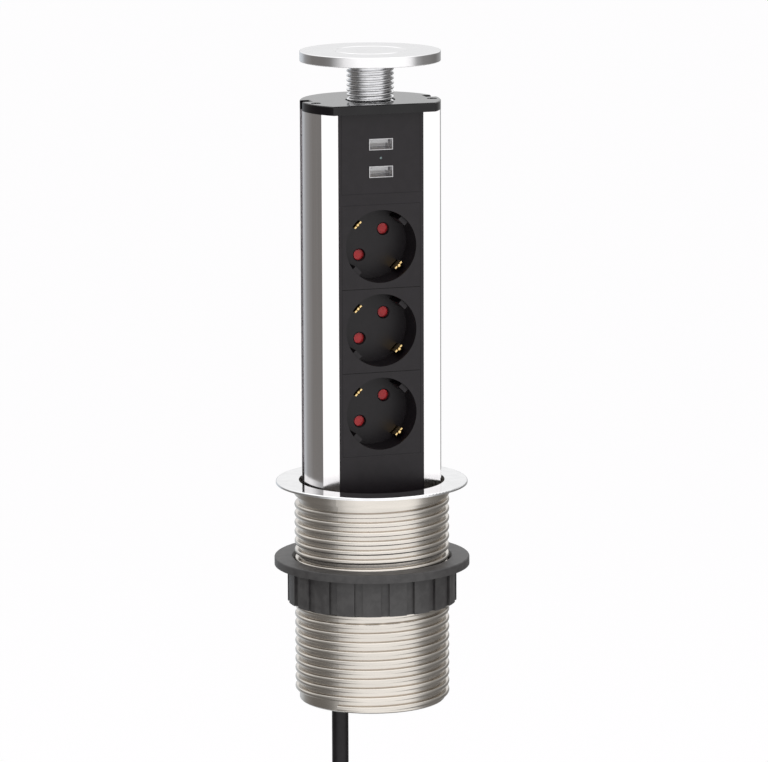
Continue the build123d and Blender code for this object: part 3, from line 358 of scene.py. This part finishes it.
def dress(piece, slot):
    """Gives a piece the finish of a slot, all over."""
    piece.data.materials.clear()
    piece.data.materials.append(finishes[slot])


for name, node in nodes.items():
    dress(node, slot_of[name])


# Modelling

def clear_selection():
    if bpy.context.object and bpy.context.object.mode != "OBJECT":
        bpy.ops.object.mode_set(mode="OBJECT")
    bpy.ops.object.select_all(action="DESELECT")


SMOOTH_UNDER = 30
ROUND_OVER = 40
WELD = 0.002


def settle(piece, name, slot, body):
    """Names a finished piece, puts its place in its mesh, smooths it and makes it ride."""
    clear_selection()
    piece.select_set(True)
    bpy.context.view_layer.objects.active = piece
    bpy.ops.object.transform_apply(location=True, rotation=True, scale=True)
    bpy.ops.object.mode_set(mode="EDIT")
    bpy.ops.mesh.select_all(action="SELECT")
    bpy.ops.mesh.remove_doubles(threshold=WELD * MM)
    bpy.ops.mesh.normals_make_consistent(inside=False)
    bpy.ops.object.mode_set(mode="OBJECT")
    bpy.ops.object.shade_smooth_by_angle(angle=math.radians(SMOOTH_UNDER))
    piece.name = name
    piece.data.name = name
    dress(piece, slot)
    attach(piece, body)


def rounded_edges(piece, width):
    """Rounds the sharp edges of a piece."""
    bevel = piece.modifiers.new("edges", "BEVEL")
    bevel.width = width * MM
    bevel.segments = 2
    bevel.limit_method = "ANGLE"
    bevel.angle_limit = math.radians(ROUND_OVER)
    clear_selection()
    piece.select_set(True)
    bpy.context.view_layer.objects.active = piece
    bpy.ops.object.modifier_apply(modifier=bevel.name)


BOOT_SIDES = 48


def ringed(centre, stations):
    """Round shape from a disc, extruded and resized from one (height, radius) to the next."""
    x, y = centre
    stations = [(z * MM, radius * MM) for z, radius in stations]
    first_z, first_radius = stations[0]
    clear_selection()
    bpy.ops.mesh.primitive_circle_add(
        vertices=BOOT_SIDES, radius=first_radius, fill_type="NGON", location=(x, y, first_z)
    )
    piece = bpy.context.object
    bpy.ops.object.mode_set(mode="EDIT")
    for (z, radius), (next_z, next_radius) in zip(stations, stations[1:]):
        bpy.ops.mesh.extrude_region_move(TRANSFORM_OT_translate={"value": (0, 0, next_z - z)})
        widening = next_radius / radius
        bpy.ops.transform.resize(value=(widening, widening, 1), center_override=(x, y, next_z))
    bpy.ops.object.mode_set(mode="OBJECT")
    return piece


# Ribs of a flexible boot: share of the way down to the next rib, and whether it stands proud
RIB = ((0.28, 0), (0.36, 1), (0.80, 1), (0.88, 0))


def ribbed(top, foot, ribs, stand):
    """Stations of a cone from one (height, radius) to another, with ribs that stand proud."""
    (top_z, top_radius), (foot_z, foot_radius) = top, foot
    stations = [top]
    for rib in range(ribs):
        for share, proud in RIB:
            way = (rib + share) / ribs
            core = top_radius + (foot_radius - top_radius) * way
            stations.append((top_z + (foot_z - top_z) * way, core + proud * stand))
    stations.append(foot)
    return stations


# Boots that keep the cord from kinking: the gland in the tower's foot and the plug's sleeve

gland_low, gland_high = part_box("cable_gland")
gland_top, gland_end = gland_high.z / MM, gland_low.z / MM
gland_flange_radius = 9.5
gland_flange_thickness = 2.0
gland_neck_radius = 7.0
gland_neck_length = 6.0
gland_rib_count = 6
gland_rib_stand = 0.9
gland_boot_radius = 7.7
gland_end_radius = 5.3

upper_flange_foot = gland_top - gland_flange_thickness
lower_flange_top = upper_flange_foot - gland_neck_length
lower_flange_foot = lower_flange_top - gland_flange_thickness
gland_stations = [
    (gland_top, gland_flange_radius), (upper_flange_foot, gland_flange_radius),
    (upper_flange_foot, gland_neck_radius), (lower_flange_top, gland_neck_radius),
    (lower_flange_top, gland_flange_radius), (lower_flange_foot, gland_flange_radius),
    *ribbed(
        (lower_flange_foot, gland_boot_radius), (gland_end, gland_end_radius),
        gland_rib_count, gland_rib_stand,
    ),
]
gland_middle = (gland_low + gland_high) / 2
gland_boot = ringed(gland_middle.xy, gland_stations)
rounded_edges(gland_boot, 0.3)
settle(gland_boot, "gland_boot", "black_rubber", "tower")
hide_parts("cable_gland")

plug_boot_length = 26.0
plug_boot_top_radius = 5.75
plug_boot_foot_radius = 8.15
plug_rib_count = 5
plug_rib_stand = 1.0

plug_low, plug_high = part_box("plug_body")
plug_middle = (plug_low + plug_high) / 2
plug_top = plug_high.z / MM
boot_stations = ribbed(
    (plug_top, plug_boot_top_radius), (plug_top - plug_boot_length, plug_boot_foot_radius),
    plug_rib_count, plug_rib_stand,
)
plug_boot = ringed(plug_middle.xy, boot_stations)
rounded_edges(plug_boot, 0.3)
settle(plug_boot, "plug_boot", "plug_black", "tower")


# Releasable strap round the coil's top: a band, its lock and its pointed tail

def select_by(piece, kind, chosen):
    """Selects the edges or faces of a piece that a test picks out."""
    clear_selection()
    piece.select_set(True)
    bpy.context.view_layer.objects.active = piece
    bpy.ops.object.mode_set(mode="EDIT")
    bpy.ops.mesh.select_mode(type=kind)
    bpy.ops.mesh.select_all(action="DESELECT")
    bpy.ops.object.mode_set(mode="OBJECT")
    for item in piece.data.edges if kind == "EDGE" else piece.data.polygons:
        item.select = chosen(item)
    bpy.ops.object.mode_set(mode="EDIT")


def block(low, high):
    """Block between two corners, in millimetres, with its size in its mesh."""
    low, high = Vector(low) * MM, Vector(high) * MM
    clear_selection()
    bpy.ops.mesh.primitive_cube_add(size=1, location=(low + high) / 2, scale=high - low)
    bpy.ops.object.transform_apply(location=True, rotation=True, scale=True)
    return bpy.context.object


strap_corner_radius = 5.2
strap_wall = 1.15
lock_side_step = 1.2
lock_sunk = 0.6
lock_stand = 4.2
lock_drop = 3.0
lock_rise = 4.0
lock_rim = 1.1
lock_slot_depth = 5.0
tail_side_inset = 0.6
tail_inner = 1.1
tail_outer = 2.2
tail_start = 2.5
tail_rise = 6.0
tail_point_length = 4.0

tie_low, tie_high = (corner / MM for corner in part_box("coil_tie"))
band = block(tie_low, tie_high)


def runs_along_x(edge):
    first, second = (band.data.vertices[corner].co for corner in edge.vertices)
    return abs(first.x - second.x) > 1 * MM


select_by(band, "EDGE", runs_along_x)
bpy.ops.mesh.bevel(offset=strap_corner_radius * MM, segments=6, affect="EDGES")
bpy.ops.object.mode_set(mode="OBJECT")
select_by(band, "FACE", lambda face: abs(face.normal.x) > 0.9)
bpy.ops.mesh.delete(type="FACE")
bpy.ops.object.mode_set(mode="OBJECT")
wall = band.modifiers.new("wall", "SOLIDIFY")
wall.thickness = strap_wall * MM
wall.offset = -1
bpy.ops.object.modifier_apply(modifier=wall.name)
rounded_edges(band, 0.2)

tie_middle = (tie_low + tie_high) / 2
lock_low = Vector((
    tie_low.x - lock_side_step, tie_high.y - lock_sunk, tie_middle.z - lock_drop
))
lock_high = Vector((
    tie_high.x + lock_side_step, tie_high.y + lock_stand, tie_middle.z + lock_rise
))
lock = block(lock_low, lock_high)
select_by(lock, "FACE", lambda face: face.normal.z > 0.9)
bpy.ops.mesh.inset(thickness=lock_rim * MM)
bpy.ops.mesh.extrude_region_move(
    TRANSFORM_OT_translate={"value": (0, 0, -lock_slot_depth * MM)}
)
bpy.ops.object.mode_set(mode="OBJECT")
rounded_edges(lock, 0.35)

tail = block(
    (tie_low.x + tail_side_inset, tie_high.y + tail_inner, lock_low.z + tail_start),
    (tie_high.x - tail_side_inset, tie_high.y + tail_outer, lock_high.z + tail_rise),
)
select_by(tail, "FACE", lambda face: face.normal.z > 0.9)
bpy.ops.mesh.extrude_region_move(
    TRANSFORM_OT_translate={"value": (0, 0, tail_point_length * MM)}
)
bpy.ops.transform.resize(value=(0.45, 0.8, 1))
bpy.ops.object.mode_set(mode="OBJECT")
rounded_edges(tail, 0.25)

clear_selection()
for part in (band, lock, tail):
    part.select_set(True)
bpy.context.view_layer.objects.active = band
bpy.ops.object.join()
settle(band, "coil_strap", "black_plastic", "tower")
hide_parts("coil_tie")


# Contact strips under the tongues of the charging ports: four to a port, bent up at the front

strip_offsets = (-3.5, -1.0, 1.0, 3.5)
strip_width = 1.0
strip_thickness = 0.24
strip_length = 6.0
strip_setback = 1.0
strip_lift = 0.05
lip_length = 0.5
lip_rise = 0.1

tongues_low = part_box("usb_tongues")[0] / MM
strip_places = []
for shell in ("usb_shell_upper", "usb_shell_lower"):
    shell_low, shell_high = (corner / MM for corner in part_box(shell))
    strip_z = (shell_low.z + shell_high.z) / 2 + strip_lift
    strip_places += [Vector((x, tongues_low.y + strip_setback, strip_z)) for x in strip_offsets]
strip_half = Vector((strip_width / 2, 0, strip_thickness / 2))
strip_end = strip_places[0] + strip_half + Vector((0, strip_length, 0))
strip = block(strip_places[0] - strip_half, strip_end)
select_by(strip, "FACE", lambda face: face.normal.y < -0.9)
bpy.ops.mesh.extrude_region_move(
    TRANSFORM_OT_translate={"value": (0, -lip_length * MM, lip_rise * MM)}
)
bpy.ops.object.mode_set(mode="OBJECT")
rounded_edges(strip, 0.05)
for place, next_place in zip(strip_places, strip_places[1:]):
    bpy.ops.object.duplicate(linked=False)
    bpy.ops.transform.translate(value=(next_place - place) * MM)
clear_selection()
for item in bpy.data.objects:
    item.select_set(item.name.startswith(strip.name))
bpy.context.view_layer.objects.active = strip
bpy.ops.object.join()
settle(strip, "port_contacts", "contact_brass", "tower")


# Mains cord: one smooth line through the drop, the tied coil and the tail

cord_radius = 4.5
gland_foot = Vector((-14, 14, -68))
drop_end = Vector((-14, 14, -155))
lean_corner = Vector((-14, 14, -203))
coil_inlet = Vector((-47.94, 14, -236.94))
coil_first = Vector((-54.31, 14, -243.31))
coil_step = 9.6
coil_sweep = math.radians(1488.07)
coil_start = math.radians(133.467)
climb_sweep = coil_sweep / 9
outer_turn = 57.42
coil_stops = 50
tail_corner_drop = 30
coil_centre = coil_first - outer_turn * Vector((math.cos(coil_start), 0, math.sin(coil_start)))


def coil_middle(turned, stretch):
    """Middle of the cord in the coil after this much turning, pushed out by a factor."""
    to_middle = abs(turned - coil_sweep / 2)
    radius = outer_turn - coil_step / math.tau * (coil_sweep / 2 - to_middle)
    climb = min(max((turned - coil_sweep / 2) / climb_sweep + 0.5, 0), 1)
    layer = coil_step * climb * climb * (3 - 2 * climb)
    angle = coil_start + turned
    radius = radius * stretch
    return coil_centre + Vector((radius * math.cos(angle), layer, radius * math.sin(angle)))


stop_turn = coil_sweep / coil_stops
coil_route = [
    coil_middle((k + 0.5) * stop_turn, 1 / math.cos(stop_turn / 2)) for k in range(coil_stops)
]
tail_top = Vector((coil_route[-1].x, coil_route[-1].y, coil_route[-1].z - tail_corner_drop))
plug_entry = Vector((-72.21, 23.6, -355.4))
cord_route = [gland_foot, drop_end, lean_corner, coil_inlet, *coil_route, tail_top, plug_entry]

cord_curve = bpy.data.curves.new("mains_cord", "CURVE")
cord_curve.dimensions = "3D"
cord_curve.bevel_depth = cord_radius * MM
cord_curve.bevel_resolution = 8
cord_curve.resolution_u = 6
cord_curve.use_fill_caps = True
cord_spline = cord_curve.splines.new("NURBS")
cord_spline.points.add(len(cord_route) - 1)
for point, place in zip(cord_spline.points, cord_route):
    point.co = (*(place * MM), 1)
cord_spline.order_u = 3
cord_spline.use_endpoint_u = True
mains_cord = bpy.data.objects.new("mains_cord", cord_curve)
bpy.context.scene.collection.objects.link(mains_cord)
dress(mains_cord, "black_rubber")
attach(mains_cord, "tower")
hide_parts("power_cord", "cord_coil", "cord_tail")


# Lamps, in metres and watts

LAMP_AIM = Vector((0, 0, 0.05))


def stage_light(name, place, power, size):
    lamp = bpy.data.lights.new(name, "AREA")
    lamp.shape = "RECTANGLE"
    lamp.size, lamp.size_y = size
    lamp.energy = power
    holder = bpy.data.objects.new(name, lamp)
    bpy.context.scene.collection.objects.link(holder)
    holder.location = place
    holder.rotation_mode = "QUATERNION"
    holder.rotation_quaternion = (LAMP_AIM - Vector(place)).to_track_quat("-Z", "Y")
    holder.visible_camera = False
    holder.visible_glossy = False


stage_light("lamp_front_left", (-1.5, -1.8, 1.5), 13.0, (1.2, 1.2))
stage_light("lamp_front_right", (1.7, -1.5, 0.9), 6.0, (1.0, 1.4))
stage_light("lamp_back", (0.4, 2.0, 1.6), 7.0, (1.4, 1.0))


# Floor: below the plug also with the tower pushed all the way down, and white to the camera

TOWER_TRAVEL = 0.231
FLOOR_GAP = 0.005
FLOOR_SIZE = 60
FLOOR_PAINT = (0.82, 0.82, 0.82, 1)
FLOOR_WHITE = (1.0, 0.993, 1.0, 1)
FLOOR_GLOW = 1.06
GLOW_SHARE = 0.88

floor_height = cad_low.z - TOWER_TRAVEL - FLOOR_GAP
clear_selection()
bpy.ops.mesh.primitive_plane_add(size=FLOOR_SIZE, location=(0, 0, floor_height))
floor = bpy.context.object
floor.name = "floor"
floor.visible_glossy = False
pale = bpy.data.materials.new("pale_floor")
pale.use_nodes = True
paint = Finish(pale.node_tree)
seen = paint.node("ShaderNodeLightPath", output="Is Camera Ray")
matt = paint.node("ShaderNodeBsdfDiffuse", {}, {"Color": FLOOR_PAINT})
bright = paint.node("ShaderNodeEmission", {}, {"Color": FLOOR_WHITE, "Strength": FLOOR_GLOW})
both = paint.node("ShaderNodeMixShader", {}, {0: seen * GLOW_SHARE, 1: matt, 2: bright})
paint.node("ShaderNodeOutputMaterial", {}, {"Surface": both})
floor.data.materials.append(pale)


# World: the room's brightness by direction, round from behind over the left, the front and the
# right, seen level or looking down, and seen looking up. Each stop has an angle, a level and a warmth

LOW_ROOM = [
    (-180, 0.70, 0.95), (-164, 0.60, 0.95), (-150, 0.30, 1.0), (-128, 0.18, 1.05),
    (-100, 0.18, 1.04), (-86, 0.22, 1.02), (-73, 0.54, 1.0), (-59, 0.96, 1.0), (-36, 1.18, 1.0),
    (40, 1.18, 1.0), (52, 1.04, 1.0), (64, 0.40, 1.0), (78, 0.24, 1.02), (116, 0.17, 1.03),
    (150, 0.42, 1.0), (180, 0.70, 0.95),
]
HIGH_ROOM = [
    (-180, 0.97, 1.0), (-135, 0.96, 1.0), (-112, 0.42, 1.0), (-84, 0.30, 1.0), (-60, 0.62, 1.0),
    (-36, 1.14, 1.0), (38, 1.14, 1.0), (60, 0.62, 1.0), (84, 0.30, 1.0), (112, 0.42, 1.0),
    (135, 0.96, 1.0), (180, 0.97, 1.0),
]
ZENITH = (1.50, 1.50, 1.50, 1)
AMBIENT = (0.55, 0.55, 0.56, 1)
# Upward share of a direction where the high room takes over from the low one, and the zenith from it
HIGH_FROM, HIGH_TO = 0.0, 0.16
ZENITH_FROM, ZENITH_TO = 0.35, 0.85

world = bpy.data.worlds.new("studio")
bpy.context.scene.world = world
world.use_nodes = True
room = Finish(world.node_tree)
across, depth, height = room.coordinates("Generated")
turn = room.node("ShaderNodeMath", {"operation": "ARCTAN2"}, {0: across, 1: depth * -1.0})
part_turned = turn / math.tau + 0.5


def room_ring(levels):
    """Colour by direction round the room, from an angle, a level and a warmth each."""
    stops = [((a + 180) / 360, (v * warm, v, v / warm, 1)) for a, v, warm in levels]
    return room.node("ShaderNodeValToRGB", {"stops": stops}, {0: part_turned})


above = room.spread(height, HIGH_FROM, HIGH_TO)
side_walls = room.mix(above, room_ring(LOW_ROOM), room_ring(HIGH_ROOM))
walls = room.mix(room.spread(height, ZENITH_FROM, ZENITH_TO), side_walls, ZENITH)
path = room.node("ShaderNodeLightPath", output="Is Glossy Ray")
camera_ray = Value(room, path.socket.node.outputs["Is Camera Ray"])
through_ray = Value(room, path.socket.node.outputs["Is Transmission Ray"])
ambient = room.mix(camera_ray, AMBIENT, WHITE)
colour = room.mix(path + through_ray, ambient, walls)
backdrop = room.node("ShaderNodeBackground", {}, {"Color": colour, "Strength": 1.0})
room.node("ShaderNodeOutputWorld", {}, {"Surface": backdrop})


# Camera: from a little above and to the left, with a long lens

AZIMUTH, ELEVATION, DISTANCE, ROLL = -18.0, 10.30, 2.6216, 0.19
LENS = 229.7
target = Vector((0.00645, -0.0021, 0.0549))
azimuth, elevation = math.radians(AZIMUTH), math.radians(ELEVATION)
back = Vector((
    math.sin(azimuth) * math.cos(elevation),
    -math.cos(azimuth) * math.cos(elevation),
    math.sin(elevation),
))
camera_data = bpy.data.cameras.new("camera")
camera_data.lens = LENS
camera_data.sensor_width = 36
camera_data.clip_end = 100
camera = bpy.data.objects.new("camera", camera_data)
bpy.context.scene.collection.objects.link(camera)
camera.location = target + DISTANCE * back
look = (-back).to_track_quat("-Z", "Y").to_matrix().to_4x4()
camera.rotation_euler = (look @ Matrix.Rotation(math.radians(-ROLL), 4, "Z")).to_euler()
bpy.context.scene.camera = camera
bpy.context.scene.view_settings.view_transform = "Standard"

bpy.context.view_layer.update()
